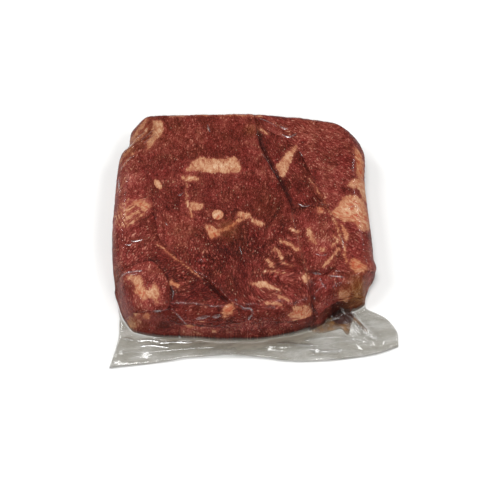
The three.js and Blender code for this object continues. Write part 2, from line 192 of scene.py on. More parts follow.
# Fat on the upper steaks: closed patches, streaks with half their width, and clean ovals of
# x, y, half length, half width and tilt in degrees
PATCHES = [
    [(-47, 36), (-44, 41), (-40, 45), (-35, 47), (-28, 46), (-22, 46), (-16, 47), (-12, 48),
     (-10, 45), (-7, 38), (-9, 34), (-15, 34), (-20, 33), (-30, 34), (-40, 36)],
    [(-50, 30), (-46, 32), (-41, 31), (-37, 29), (-38, 27), (-44, 27), (-48, 27)],
    [(-43, 9), (-40, 10), (-34, 8), (-34, 4), (-38, 3), (-42, 4)],
    [(-33, -9), (-28, -10), (-24, -13), (-22, -15), (-25, -19), (-28, -20), (-30, -16)],
    [(-10, 0), (-6, 1), (-1, 0), (-1, -4), (-6, -4), (-10, -3)],
    [(-1, -5), (2, -5), (7, -7), (8, -10), (4, -10), (0, -8)],
    [(-2, -53), (2, -53), (7, -52), (12, -54), (17, -57), (18, -59), (12, -58), (7, -57),
     (2, -56)],
    [(27, -70), (30, -69), (35, -68.5), (39, -69), (40, -72), (39, -76), (36, -80), (32, -79),
     (29, -77), (25, -74.5), (23, -73), (26, -72)],
    [(33, -48), (35, -46), (38, -46), (38, -50), (35, -53), (33, -50)],
    [(-17, -68), (-14, -68), (-12, -71), (-13, -74), (-16, -75), (-19, -76), (-20, -73)],
    [(31, 58), (33, 57), (29, 49), (26, 40), (22, 31), (19, 36), (17, 41), (20, 45), (25, 53)],
    [(40, -9), (38, -12), (38, -16), (40, -20), (43, -23), (45, -22), (42.5, -17), (41.5, -13)],
    [(46, -26), (49, -26), (50, -28), (47, -29)],
    [(45, 7), (48, 8), (50, 5), (49, 2), (46, 3)],
    [(55, 3), (59, 7), (62, 13), (65, 16), (70, 17), (75, 17), (79, 15), (82, 5), (82, -8),
     (76, -11), (72, -7), (67, -4), (64, -5), (60, -2), (57, -1)],
    [(60, -6), (62, -7), (64.5, -11), (66, -16), (65.5, -21), (64, -20), (62.5, -15), (61, -10)],
    [(67, -35), (71, -34), (75, -37), (78, -40), (77, -43), (72, -45), (68, -43), (66, -39)],
    [(59, -56), (62, -54.4), (65, -56), (65.6, -59), (62, -60), (59, -58.6)],
    [(74, 58), (78, 56), (81, 49), (81, 40), (80, 33), (75, 33), (75, 43), (74, 50)],
    [(68, 24), (70, 29), (74, 32), (80, 33), (82, 30), (82, 17), (77, 17), (76, 23)],
    [(-84, 9), (-82, 12), (-78, 12.6), (-72, 10), (-71, 6), (-75, 3), (-79, 7)],
    [(-72, 81), (-69, 82), (-65, 80), (-64, 71), (-68, 64), (-72, 58), (-75, 55), (-75, 63),
     (-72, 71)],
    [(-85, -47), (-78, -47), (-74, -50), (-72, -55), (-69, -58), (-66, -53), (-63, -57),
     (-62, -61), (-63, -68), (-69, -64), (-73, -66), (-78, -61), (-79, -56), (-81, -52)],
]
STREAKS = [
    ([(-46, 27), (-46, 18), (-45, 11)], 0.3), ([(-45, 10), (-43, 3), (-42, -2)], 0.9),
    ([(-24, -15), (-17, -12), (-12, -8), (-7, -5)], 1.3), ([(19, -21), (25, -24), (31, -28)], 1.1),
    ([(15, -28), (18, -30), (20, -35)], 1.1), ([(10, -37), (14, -41)], 1.2),
    ([(27, -12), (31, -13)], 1.1), ([(18, -63), (24, -66)], 1.2), ([(9, -68), (14, -68), (20, -70)], 1),
    ([(8, -45), (15, -45), (22, -46)], 0.7), ([(20, -38), (27, -41)], 0.8),
    ([(-95, -3), (-84, 6)], 1.7), ([(-92, -7), (-79, 3)], 1.3), ([(-87, -9), (-75, 1)], 1),
    ([(-96, 3), (-91, 11)], 1.2), ([(-93, 5), (-86, 13)], 0.9), ([(-89, 4), (-82, 10)], 0.8),
    ([(-94, 42), (-85, 53)], 1), ([(-96, 49), (-86, 60)], 1.2), ([(-91, 60), (-81, 69)], 1.2),
    ([(-88, 68), (-80, 77), (-77, 83)], 1.6), ([(-82, 66), (-76, 74)], 1.2),
    ([(-60, 85), (-44, 87), (-30, 86.4)], 0.9), ([(-24, 87), (-8, 85.8), (7, 85.4)], 1.0),
    ([(7, 73), (11, 69)], 0.9), ([(59, -27), (54, -33), (48, -40)], 1.1),
    ([(57, -3), (60, -15), (63, -26), (64, -37)], 0.8), ([(-65, -23), (-50, -36), (-34, -49.4)], 0.5),
    ([(41, 30), (48, 17.4), (53.4, 4.3), (57.8, -8)], 0.3),
    ([(27, 4), (30.4, -14), (33.6, -30), (37.4, -46)], -0.2),
    ([(56, -16), (59, -19), (57, -23), (55, -24)], 0.9), ([(-54, -53), (-50, -56)], 1.5),
]
OVALS = [(-23.8, -0.9, 4, 4, 0), (-66, 25, 4.6, 2.2, 118)]

# Fat on the lower steaks, which show in the walls of the block: x, y, z and radius
LUMPS = [
    (-42, -78, 17, 3.4), (-34, -77, 21, 2), (-71, -73, 20, 2.8), (-86, -66, 13, 3.5), (-79, -71, 21, 3),
    (-82, -73, 9, 4.4), (82, -46, 10, 3), (-26, -80, 12, 2), (70, 84, 9, 4), (-30, 93, 8, 5),
    (20, 93, 10, 3), (-98, 30, 8, 4), (-98, -20, 9, 3), (84, 30, 8, 4), (85, -12, 7, 3),
]

# Spots of x, y, sometimes z, radius and amount on each layer: where the meat is lighter or darker, some
# dark ones being painted shade in creases, brown or orange under juice, flecked with pale cuts, and
# streaked with pale fibres
SPOTS = {
    "tone_and_shade": {
        LOWER: [(-42, -78, 17, 14, 0.2), (-79, -72, 16, 12, 0.35), (-57, -77, 16, 8, -0.25),
            (58, -66, 6, 8, -0.3), (4, -79, 20, 34, 0.14), (16, -80, 4, 16, -0.2),
            (-44, -80, 10, 12, 0.12), (-16, -82, 2, 14, -0.16), (-34, -81, 5, 10, -0.15)],
        # Painted shade: the dark spot at (-20, -60) and the row from (41.6, -51) to (41.6, -69) darken
        # the creases where the middle steak overlaps the left wedge and along its right edge
        UPPER: [(-12, -26, 24, -0.24), (-28, -40, 14, -0.08), (-44, -58, 18, -0.1), (35, 24, 12, -0.08),
            (-50, -10, 12, 0.06), (-85, 28, 12, 0.15), (-84, 2, 14, 0.17), (-66, -62, 12, 0.08),
            (-52, 14, 14, -0.06), (60, 4, 12, 0.06), (18, -58, 16, -0.02), (48, -20, 12, 0.05),
            (-38, 20, 7, 0.06), (9, 28, 12, -0.05), (-24, 14, 10, -0.12), (-34, 66, 24, -0.03),
            (64, 50, 14, 0.03), (-4, 80, 9, 0.05), (60, -66, 6, -0.15), (18, -6, 20, -0.15),
            (-20, -60, 9, -0.18), (66, -22, 12, -0.12), (68, -46, 10, -0.12), (-86, -14, 10, -0.16),
            (64, 44, 12, -0.08), (-70, 46, 14, -0.07), (-66, 70, 10, -0.05), (-27, 29, 8, 0.1),
            (-51, -24, 8, 0.08), (-22, -26, 7, 0.1), (20, -34, 12, -0.06), (-40, 70, 7, 0.1),
            (-10, 66, 7, -0.12), (47, -19, 7, 0.2), (30, 84, 14, 0.05), (62, 78, 12, 0.1),
            (-44, 84, 12, 0.05), (41.6, -51, 2.5, -0.25), (42.4, -57, 2.5, -0.3),
            (42.4, -63, 2.5, -0.3), (41.6, -69, 2.5, -0.25), (-80, 76, 8, 0.15), (-36, -44, 6, 0.12),
            (-60, -46, 6, 0.08), (-62, 24, 10, -0.08), (-60, 2, 9, -0.08), (-52, -70, 8, -0.12),
            (26, -28, 9, -0.08), (12, -50, 9, -0.08), (18, -62, 9, -0.06)],
    },
    "brown": {
        LOWER: [(-84, -70, 13, 10, 0.6), (73, -57, 14, 8, 1.1), (82, -50, 8, 12, 0.5)],
        UPPER: [(-80, 72, 13, 0.35), (-92, 56, 8, 0.4), (73, -55, 8, 1.2), (62, -57, 4, 0.4),
            (-17, -12, 8, 0.4), (8, 6, 10, 0.1), (-96, -44, 6, 0.4), (-50, -12, 10, 0.15),
            (-56, 64, 16, 0.1), (-24, 72, 24, 0.04), (0, 72, 5, 0.4), (46, 76, 16, 0.12)],
    },
    "orange": {
        LOWER: [(-69, -73, 21, 4, 1), (-42, -78, 17, 8, 0.7)],
        UPPER: [(-15, -10, 9, 1), (-27, -17, 4, 0.8), (78, 45, 14, 0.8), (70, -42, 12, 0.7),
            (32, -26, 9, 0.3), (34, -77, 6, 0.9), (-15, -73, 8, 0.5), (60, -12, 8, 0.5),
            (50, 14, 10, 0.7), (-42, -43, 16, 0.4), (-80, 7, 9, 0.3), (72, 4, 14, 0.26),
            (-54, -28, 12, 0.5), (-78, -60, 5, 0.6), (-90, 56, 10, 0.4), (-52, -54, 6, 0.6),
            (-20, 88, 20, 0.8), (63, -30, 7, 0.4), (-44, 0, 5, 0.6)],
    },
    "flecked": {
        LOWER: [(10, -80, 14, 30, 0.4)],
        UPPER: [(-10, -30, 26, 0.8), (-28, -36, 9, 0.8), (-50, -46, 16, 1.3), (-86, -26, 16, 1.2),
            (60, 44, 26, 0.3), (-24, 72, 34, -0.5), (-66, -62, 9, 0.8), (24, -52, 20, 0.5),
            (40, 76, 14, 0.6), (-50, 66, 22, 0.4), (55, -30, 16, 0.4), (70, -22, 9, 0.7)],
    },
    "ropes": {
        LOWER: [(-30, -80, 14, 24, 0.8), (14, -80, 14, 22, 0.7)],
        UPPER: [(22, -28, 15, 0.9), (16, -58, 20, 0.9), (-19, 22, 12, 0.6), (-84, 2, 16, 0.9),
            (-90, 52, 14, 0.7), (30, 76, 16, 0.6), (50, -18, 12, 0.6), (-62, -64, 9, 0.9),
            (62, 62, 20, 0.5), (60, 36, 12, 0.4), (2, 34, 9, 0.5), (78, -20, 12, 0.5)],
    },
}
# Where a steak's grain turns: x, y, radius and direction in degrees
TURNS = {
    "middle": [(24, -28, 20, 140), (16, -60, 20, 152), (-30, -34, 16, 110)],
    "left": [(-84, 6, 20, 38)],
    "front": [(0, -80, 30, 90)],
}

# Ridges of folded film on the margin: root, outer end, height and width
FOLDS = [
    ((60, -57), (76, -84), 2.4, 5), ((66, -58), (85, -82), 2, 4.5), ((-85, -68), (-93, -98), 1.8, 5),
    ((12, -87), (42, -89), 1.2, 4.5),
]
FOLD_END = 9

# The cross-section of a wrinkle: its height as a share of half its width, the curve of its
# sides, how far it starts below the film, and its points across, along and at the ends
WRINKLE_SLOPE = 0.34
WRINKLE_CURVE = 1.25
WRINKLE_SINK = 0.04
WRINKLE_COLUMNS = 9
WRINKLE_STEP = 0.4
WRINKLE_TAPER = 2.5

# Wrinkles of the film that catch the light: the line in plan and half its width
WRINKLES = [
    ([(-87, -23.4), (-84, -23.6), (-82, -22.6)], 0.8), ([(-83, -21), (-79, -20.6), (-75, -19.6)], 0.8),
    ([(-89, -45.4), (-84, -44.8), (-79, -44), (-74, -43.8)], 0.8), ([(-83, -46.6), (-77, -45.8)], 0.6),
    ([(-80, 64), (-75, 69), (-71, 73)], 0.5), ([(-78, 61), (-73, 66), (-69, 70)], 0.5),
    ([(-82, 67), (-78, 71), (-75, 75)], 0.5), ([(-38, -76), (-32, -75.4), (-28, -75)], 0.8),
    ([(-27, -75.6), (-21, -75)], 1.0),
    ([(-8, -70), (-6, -72), (-2, -72), (0, -74), (-2, -76), (-3, -77)], 0.8),
    ([(-12, -66), (-10, -66.4)], 0.8), ([(-45, -72), (-43.5, -72.2)], 0.7),
    ([(7, 51), (11, 45), (14, 39), (19, 31)], 0.5), ([(32, 9), (36, 7), (41, 8)], 0.6),
    ([(40, -45.4), (43, -45.8), (46, -46.4)], 1.3), ([(51, -47), (56, -47), (62, -48)], 0.7),
    ([(45, -50), (47, -53), (50, -56)], 0.4), ([(43, -31), (47, -32), (51, -31)], 0.4),
    ([(-60, -6), (-58, -9)], 0.6), ([(-52, 16), (-50, 15.4), (-48, 18)], 0.6),
    ([(-32, 77), (-31, 73), (-30, 69)], 0.7), ([(6, 82), (11, 80), (18, 75)], 0.5),
    ([(20, 76), (24, 73), (27, 74)], 0.9), ([(22, 68), (27, 66), (33, 69)], 0.8),
    ([(-54, -71), (-50, -74), (-44, -78)], 0.4), ([(-95, 34), (-94, 27), (-93, 20)], 0.7),
    ([(-94, 40), (-89, 47), (-84, 51)], 0.6), ([(-92, 56), (-86, 63), (-81, 69)], 0.6),
    ([(-37, -38), (-35, -36), (-33, -38)], 0.4), ([(-9, -26), (-8, -29), (-7, -33)], 0.4),
    ([(66, 5), (71, 8), (75, 6)], 0.5), ([(60, -15), (62, -20), (62, -26)], 0.4),
    ([(16, -85.4), (23, -84.8), (32, -86), (42, -86)], 1.5),
    ([(38, -89.6), (46, -90.2), (54, -90.2), (61, -89.4)], 1.7),
    ([(26, -88), (45, -86), (62, -83), (71, -81)], 0.5),
    ([(-64, -84), (-53, -83.4), (-40, -83.6)], 1.2), ([(-78, -82.4), (-70, -81.6), (-62, -82.6)], 1.8),
    ([(-76, -87), (-68, -86), (-56, -87.6)], 1.2), ([(-88, -82), (-84, -81.4), (-80, -82)], 1.6),
    ([(-90, -90), (-87, -91), (-84, -91.4)], 0.8),
    ([(-84, -91), (-70, -91), (-50, -89), (-26, -88)], 0.5),
    ([(60.6, -60.5), (66, -65), (72.8, -72), (78, -78), (82.5, -82)], 0.8),
    ([(67.9, -61.6), (73, -68), (78, -74), (82, -78)], 0.8),
    ([(69.9, -72.9), (71.1, -76.6), (74.5, -78.5), (76.8, -75.7), (74.2, -71.5)], 0.5),
    ([(82.6, -78.6), (83.8, -80.8), (81.8, -82.5)], 1.3),
    ([(35, -83.2), (45.3, -80.6), (62.3, -80.2), (72.3, -82.7), (77.5, -85)], 0.5),
    ([(49.7, -69.3), (53.3, -67.1), (57.5, -65.4), (61, -66)], 0.9),
    ([(-66, -71.6), (-60, -71.8), (-55, -71.2)], 0.35),
    ([(-54.5, -54.7), (-53, -60), (-53.4, -66)], 0.35),
]

# Juice under the film, on the margin at the foot of the block
JUICE = [
    [(38, -74.6), (42, -72.6), (46, -70.6), (50, -67.5), (55, -63.5), (60, -60.5), (66, -59.5),
     (69.5, -61), (68.6, -67), (67.2, -72.6), (66, -76.6), (64.4, -77.4), (63, -75.4),
     (61, -72.8), (56, -73.8), (50, -75.6), (44, -76)],
    [(63, -59), (69, -60), (74, -67), (79, -74), (77, -75), (71, -69)],
]
# Where it is deep and dark: x, y, radius and amount
POOL = [(60, -64, 5.5, 1.4), (66, -64, 4.5, 1)]

# The grid that all the surfaces share. Rows run from left to right and columns from back to
# front, closer together where the surface turns.
SPACING = 0.9
INNER_COLUMNS = 182
RIM_ANGLES = np.radians(np.arange(0, 90, 9))
SEAL_ROWS = [0, 0.05, 0.14, 0.28, 0.45, 0.62, 0.8, 0.92]
WALL_ROWS = [0, 0.12, 0.35, 0.7, 1.1, 1.6, 2.2, 2.9, 3.7, 4.6, 5.6, 6.7, 7.8, 8.9, 10, 11.1]
MARGIN_STEPS = 24
GRID_PASSES = 60
GRID_PULL = 0.35

# The photograph's view, and the lamps, each with its place in metres, size and watts
CAMERA_LENS = 85.7
CAMERA_ELEVATION = 60
CAMERA_DISTANCE = 800
CAMERA_AIM = (-9, -11, 15)
WORLD_LIGHT = 0.22
LAMPS = [
    ("overhead", (-0.1, -0.2, 1.2), 0.32, 7), ("front", (0.5, -0.8, 0.8), 0.4, 4),
    ("left", (-0.62, 0, 1.0), 0.32, 4), ("right", (0.6, 0, 1.02), 0.2, 2.2),
    ("back_left", (-0.73, 0.6, 0.72), 0.2, 2), ("back_right", (0.73, 0.6, 0.72), 0.2, 1.5),
]


# Curves and distances in plan

def lerp(a, b, t):
    return a + (b - a) * t


def smoothstep(value, low=0.0, high=1.0):
    t = np.clip((value - low) / (high - low), 0, 1)
    return t * t * (3 - 2 * t)


def hermite(s, start, end, leaving, arriving, width=1):
    """A smooth curve over a width with the given ends and the slopes there, at s from 0 to 1."""
    share = 2 * s**3 - 3 * s**2 + 1
    return (share * start + (1 - share) * end + (s**3 - 2 * s**2 + s) * width * leaving
            + (s**3 - s**2) * width * arriving)


def profile(pairs):
    """A smooth curve through (t, value) pairs that never overshoots them."""
    t, value = np.array(sorted(pairs), float).T
    slope = np.diff(value) / np.diff(t)
    product = slope[:-1] * slope[1:]
    total = np.where(product > 0, slope[:-1] + slope[1:], 1)
    tangent = np.r_[slope[0], np.where(product > 0, 2 * product / total, 0), slope[-1]]

    def at(q):
        q = np.clip(q, t[0], t[-1])
        i = np.clip(np.searchsorted(t, q, side="right") - 1, 0, len(t) - 2)
        width = t[i + 1] - t[i]
        s = (q - t[i]) / width
        return hermite(s, value[i], value[i + 1], tangent[i], tangent[i + 1], width)

    return at


left_x, right_x = profile(LEFT), profile(RIGHT)
left_z, right_z = profile(LEFT_EDGE_Z), profile(RIGHT_EDGE_Z)
back_edge, back_foot = profile(BACK_EDGE), profile(BACK_FOOT)
front_foot, front_edge = profile(FRONT_FOOT), profile(FRONT_EDGE)


def smooth_line(points, closed):
    """Points of a smooth curve through the given ones."""
    p = np.array(points, float)
    p = np.vstack([p[-1:], p, p[:2]] if closed else [p[:1], p, p[-1:]])
    s = np.arange(CURVE_STEPS)[:, None] / CURVE_STEPS
    parts = [hermite(s, a, b, (b - before) / 2, (after - a) / 2)
             for before, a, b, after in zip(p, p[1:], p[2:], p[3:])]
    return np.vstack(parts if closed else [*parts, p[-1]])


def turned(x, y, degrees):
    """Coordinates along and across a direction."""
    angle = math.radians(degrees)
    return x * math.cos(angle) + y * math.sin(angle), y * math.cos(angle) - x * math.sin(angle)


def segment_distance(x, y, a, b):
    dx, dy = b[0] - a[0], b[1] - a[1]
    length2 = max(dx * dx + dy * dy, 1e-9)
    t = np.clip(((x - a[0]) * dx + (y - a[1]) * dy) / length2, 0, 1)
    return np.hypot(x - a[0] - dx * t, y - a[1] - dy * t)


def line_distance(x, y, points):
    return np.min([segment_distance(x, y, a, b) for a, b in zip(points, points[1:])], axis=0)


def inside_distance(x, y, outline):
    """Distance to a closed outline, positive inside it."""
    inside = np.zeros(x.shape, bool)
    closed = np.vstack([outline, outline[:1]])
    for a, b in zip(closed, closed[1:]):
        if a[1] != b[1]:
            crossing = a[0] + (b[0] - a[0]) * (y - a[1]) / (b[1] - a[1])
            inside ^= ((a[1] > y) != (b[1] > y)) & (x < crossing)
    return np.where(inside, 1, -1) * line_distance(x, y, closed)


def oval_distance(x, y, middle_x, middle_y, half_length, half_width, tilt):
    """Steeply rising inside an oval, so that its edge stays clean."""
    along, across = turned(x - middle_x, y - middle_y, tilt)
    return (1 - np.hypot(along / half_length, across / half_width)) * 4 * half_width


def foot_distance(x, y, foot, inward):
    """Distance in from the foot of a wall, negative out on the film beyond it."""
    xs = np.linspace(-100, 100, 81)
    nearest = line_distance(x, y, np.column_stack([xs, foot(xs)]))
    return np.where((y - foot(x)) * inward >= 0, nearest, -nearest)


def blobs(point, spots):
    """Soft spots summed: each has a place in plan or in space, then a radius and an amount."""
    total = np.zeros(point[0].shape)
    for *place, radius, amount in spots:
        away = sum((a - b) ** 2 for a, b in zip(point, place))
        total += amount * np.exp(-away / radius**2)
    return total


def noise(x, y, size, seed):
    """Smooth noise from -1 to 1 with bumps of about the given size."""
    count = 97
    values = np.random.RandomState(seed).uniform(-1, 1, (count, count))
    u, v = np.broadcast_arrays(x / size + 40.3, y / size + 40.7)
    i, j = np.floor(u).astype(int), np.floor(v).astype(int)
    s, t = smoothstep(u - i), smoothstep(v - j)
    i, j, i1, j1 = i % count, j % count, (i + 1) % count, (j + 1) % count
    return lerp(lerp(values[i, j], values[i1, j], s), lerp(values[i, j1], values[i1, j1], s), t)


# The shared grid, and what is known at each of its points

def grid_rows():
    """Each row's y as shares of back edge, back foot, front foot and front edge, and an offset."""
    deepest = WALL_ROWS[-1]
    top_rows = round((2 * HALF_DEPTH - 2 * deepest) / SPACING)
    rows = [(1 - t, t, 0, 0, 0) for t in SEAL_ROWS]
    rows += [(0, 1, 0, 0, -w) for w in WALL_ROWS]
    rows += [(0, 1 - t, t, 0, deepest * (2 * t - 1)) for t in np.arange(1, top_rows) / top_rows]
    rows += [(0, 0, 1, 0, w) for w in reversed(WALL_ROWS)]
    rows += [(0, 0, 1 - t, t, 0) for t in (np.arange(MARGIN_STEPS) + 1) / MARGIN_STEPS]
    return np.array(rows)


def grid_columns():
    """Each column's side of the block, its angle round the rim and its share of the way across."""
    rim, inner = len(RIM_ANGLES), INNER_COLUMNS + 1
    side = np.repeat([-1, 0, 1], [rim, inner, rim])
    share = np.r_[np.zeros(rim), np.arange(inner) / INNER_COLUMNS, np.ones(rim)]
    angle = np.r_[RIM_ANGLES, np.full(inner, math.pi / 2), RIM_ANGLES[::-1]]
    return side, angle, share


def rim_width(edge_z):
    return RIM_LEAST + RIM_GROWTH * edge_z


def columns_at(y, side, angle, share):
    """x of each column where it crosses y, and the height of the rim there."""
    zl, zr = left_z(y), right_z(y)
    left, right = left_x(y), right_x(y)
    inner = lerp(left + rim_width(zl), right - rim_width(zr), share)
    edge_z = np.where(side < 0, zl, zr)
    groove = np.exp(-((angle / LAYER_PINCH_ANGLE) ** 2)) * smoothstep(edge_z, 8, 14)
    inset = rim_width(edge_z) * (1 - np.cos(angle)) + LAYER_PINCH * groove
    x = np.where(side == 0, inner, np.where(side < 0, left + inset, right - inset))
    return x, edge_z


def shared_grid():
    rows = grid_rows()[:, None, :]
    side, angle, share = grid_columns()
    y = np.zeros((len(rows), len(side)))
    for _ in range(GRID_PASSES):
        x, edge_z = columns_at(y, side, angle, share)
        ends = (back_edge(x), back_foot(x), front_foot(x), front_edge(x), 1.0)
        y = y + GRID_PULL * (sum(rows[..., k] * end for k, end in enumerate(ends)) - y)
    x, edge_z = columns_at(y, side, angle, share)
    g = SimpleNamespace(x=x, y=y, rise=np.broadcast_to(np.sin(angle), x.shape).copy())
    g.edge_z = np.where(side == 0, 0.0, edge_z)
    g.front = foot_distance(x, y, front_foot, 1)
    g.back = foot_distance(x, y, back_foot, -1)
    g.meet = meeting_height(x, y)
    g.inside = np.array([inside_distance(x, y, smooth_line(s.outline, True)) for s in STEAKS])
    g.juice = np.max([inside_distance(x, y, smooth_line(line, True)) for line in JUICE], axis=0)
    g.top, g.bottom = film_sides(g)
    g.up, g.down = surface_normals(x, y, g.top), -surface_normals(x, y, g.bottom)
    return g


def meeting_height(x, y):
    """Height at which the two layers of steaks meet."""
    height = LAYER_Z
    for edge_z, inward in ((left_z(y), x - left_x(y)), (right_z(y), right_x(y) - x)):
        reach = np.maximum(inward - rim_width(edge_z), 0) / LAYER_REACH
        height = height + (edge_z - LAYER_Z) * np.exp(-(reach**2))
    return height


def surface_normals(x, y, z):
    """Unit normals of a grid of points, up where the grid lies level."""
    p = np.stack([x, y, z])
    normal = np.cross(np.gradient(p, axis=1), np.gradient(p, axis=2), axis=0)
    return normal / np.maximum(np.linalg.norm(normal, axis=0), 1e-9)


# Heights of the steaks and of the film over them

def general_top(g):
    x, y = g.x, g.y
    side_fall = SIDE_FALL * ((x - BLOCK_MIDDLE) / HALF_WIDTH) ** 2
    end_fall = END_FALL * (y / HALF_DEPTH) ** 2
    lumps = LUMP * np.sin(x / LUMP_LENGTH + 1.3) * np.cos(y / LUMP_DEPTH + 0.4)
    small = 0.3 * noise(x, y, 9, 1) + 0.16 * noise(x, y, 4, 2)
    dome = DOME * np.exp(-(((x - DOME_X) / DOME_LENGTH) ** 2) - ((y - DOME_Y) / DOME_DEPTH) ** 2)
    return BLOCK_TOP - side_fall - end_fall + lumps + small + dome


def firmness(steak, g):
    return np.clip(steak.firm + blobs((g.x, g.y), steak.spots), 0.04, 1)


def steak_height(steak, g):
    return general_top(g) + steak.rise + blobs((g.x, g.y), DIPS.get(steak.at, []))


def edge_drop(inside, firm):
    t = 1 - np.clip(inside / STEAK_ROUND, 0, 1)
    inner = firm * STEAK_ROUND * (1 - np.sqrt(1 - t * t))
    return np.where(inside < 0, firm * STEAK_ROUND - 2 * inside, inner)


def crease(inside, firm):
    return firm * CREASE_DEPTH * np.exp(-((inside / CREASE_WIDTH) ** 2))


def soft_max(a, b, blend):
    t = np.clip(0.5 + (a - b) / (2 * blend), 0, 1)
    return lerp(b, a, t) + blend * t * (1 - t)


def quarter_round(share):
    return np.sqrt(1 - (1 - np.clip(share, 0, 1)) ** 2)


def film_over_steaks(g):
    z = general_top(g) + LOWEST_RISE
    for steak, inside in zip(STEAKS, g.inside):
        firm = firmness(steak, g)
        own = steak_height(steak, g) - edge_drop(inside, firm)
        z = soft_max(z - crease(inside, firm), own, FILM_BLEND)
    return z


def wall_share(t):
    """Share of its full height that the film has, t of a wall's reach in from its foot."""
    hollow_top, hollow_length = 0.06, 0.246
    along = np.clip(1 - (hollow_top - t) / hollow_length, 0, 1)
    return np.where(t > hollow_top, quarter_round(t), quarter_round(hollow_top) * along**2)


def wall_reach(g):
    return np.minimum(g.front / FRONT_REACH, g.back / BACK_REACH)


def margin_share(g, root):
    """0 at the margin's root, the given distance out from the block's foot, and 1 at its edge."""
    start = front_foot(g.x) - root
    return np.clip((start - g.y) / (start - front_edge(g.x)), 0, 1)


def margin_lift(g):
    wave = MARGIN_LIFT * np.exp(-(((g.x - MARGIN_LIFT_X) / MARGIN_LIFT_WIDTH) ** 2))
    ripple = RIPPLE_LIFT * np.sin(g.x / RIPPLE_LENGTH) ** 2
    return (wave + ripple) * margin_share(g, MARGIN_FLAT) ** 2


def fold_height(g):
    heights = [height * np.exp(-2 * (segment_distance(g.x, g.y, start, end) / width) ** 2)
               for start, end, height, width in FOLDS]
    return smoothstep(g.y - front_edge(g.x), 2, FOLD_END) * np.max(heights, axis=0)


def film_top(g):
    share = wall_share(wall_reach(g))
    out = margin_share(g, 0)
    loose = PILLOW * np.sin(math.pi * out**0.8) * (1 + 0.5 * noise(g.x, g.y * 0, 17, 5))
    loose = loose + 0.3 * noise(g.x, g.y, 7, 6) * smoothstep(out, 0, 0.2)
    margin = MARGIN_THICK + margin_lift(g) + (fold_height(g) + loose) * (1 - share)
    return lerp(margin, film_over_steaks(g), share)


def film_sides(g):
    """The film's upper and lower heights at each point of the grid."""
    lift = margin_lift(g)
    film_middle = lift + MARGIN_THICK / 2
    edge = np.maximum(g.edge_z, film_middle)
    top = lerp(edge, film_top(g), g.rise)
    bottom = lerp(edge, lift, g.rise)
    for row in (0, -1):
        top[row] = bottom[row] = film_middle[row]
    return top, bottom


# Pieces cut from the grid

def settle(level):
    """For each point near the edge of level > 0, the neighbour towards which it moves and how far."""
    rows, columns = level.shape
    index = np.arange(level.size).reshape(level.shape)
    best = np.full(level.shape, 2.0)
    towards = index.copy()
    for di, dj in ((1, 0), (-1, 0), (0, 1), (0, -1)):
        here = (slice(max(-di, 0), rows - max(di, 0)), slice(max(-dj, 0), columns - max(dj, 0)))
        there = (slice(max(di, 0), rows - max(-di, 0)), slice(max(dj, 0), columns - max(-dj, 0)))
        a, b = level[here], level[there]
        differs = (a > 0) != (b > 0)
        share = np.where(differs, a / np.where(differs, a - b, 1), 2.0)
        nearer = share < best[here]
        best[here] = np.where(nearer, share, best[here])
        towards[here] = np.where(nearer, index[there], towards[here])
    moved = best <= 0.5
    return moved, np.where(moved, towards, index).ravel(), np.where(moved, best, 0).ravel()


def cut(g, level):
    """The faces of the grid inside level > 0, with the grid's values at its settled points."""
    moved, towards, share = settle(level)

    def settled(values):
        flat = values.reshape(values.shape[:-2] + (-1,))
        return lerp(flat, flat[..., towards], share)

    fields = SimpleNamespace(**{name: settled(values) for name, values in vars(g).items()})
    kept = moved | (level > 0)
    strict = (level > 0) & ~moved
    index = np.arange(level.size).reshape(level.shape)
    corners = [(slice(None, -1), slice(None, -1)), (slice(1, None), slice(None, -1)),
               (slice(1, None), slice(1, None)), (slice(None, -1), slice(1, None))]
    kept4 = np.array([kept[c] for c in corners])
    ids = np.array([index[c] for c in corners])
    has_inner = np.any([strict[c] for c in corners], axis=0)
    middle = np.mean([level[c] for c in corners], axis=0) > 0
    count = kept4.sum(axis=0)
    quads = ids[:, (count == 4) & (has_inner | middle)].T
    faces = [tuple(q) for q in quads.tolist()]
    for lost in range(4):
        others = [k for k in range(4) if k != lost]
        chosen = (count == 3) & ~kept4[lost] & has_inner
        faces += [tuple(t) for t in ids[others][:, chosen].T.tolist()]
    return fields, faces


def grid_faces(rows, columns, first=0):
    """The faces of a whole grid of points, numbered row by row from the first."""
    index = first + np.arange(rows * columns).reshape(rows, columns)
    quads = np.stack([index[:-1, :-1], index[1:, :-1], index[1:, 1:], index[:-1, 1:]], -1)
    return [tuple(q) for q in quads.reshape(-1, 4).tolist()]


def rim_points(faces, count):
    """Which points lie on the outer edge of a set of faces."""
    edges = np.array([(f[i - 1], f[i]) for f in faces for i in range(len(f))])
    keys, uses = np.unique(edges.min(axis=1) * count + edges.max(axis=1), return_counts=True)
    single = keys[uses == 1]
    on_rim = np.zeros(count, bool)
    on_rim[single // count] = True
    on_rim[single % count] = True
    return on_rim


def points_at(g, z, inset=0):
    """Points of the grid at height z, one a row, less an inset along x, y and z."""
    return (np.stack([g.x, g.y, z]) - inset).reshape(3, -1).T


def new_piece(name, points, faces, values, material):
    """A smooth-shaded mesh from points in millimetres, with named values at its points."""
    mesh = bpy.data.meshes.new(name)
    mesh.from_pydata(((points - CENTRE) * MM).tolist(), [], faces)
    for key, numbers in values.items():
        kind, field = ("FLOAT", "value") if numbers.ndim == 1 else ("FLOAT_VECTOR", "vector")
        mesh.attributes.new(key, kind, "POINT").data.foreach_set(field, numbers.ravel())
    mesh.polygons.foreach_set("use_smooth", np.ones(len(mesh.polygons), bool))
    mesh.materials.append(material)
    mesh.update()
    piece = bpy.data.objects.new(name, mesh)
    bpy.context.scene.collection.objects.link(piece)
    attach(piece, "root")
    return piece


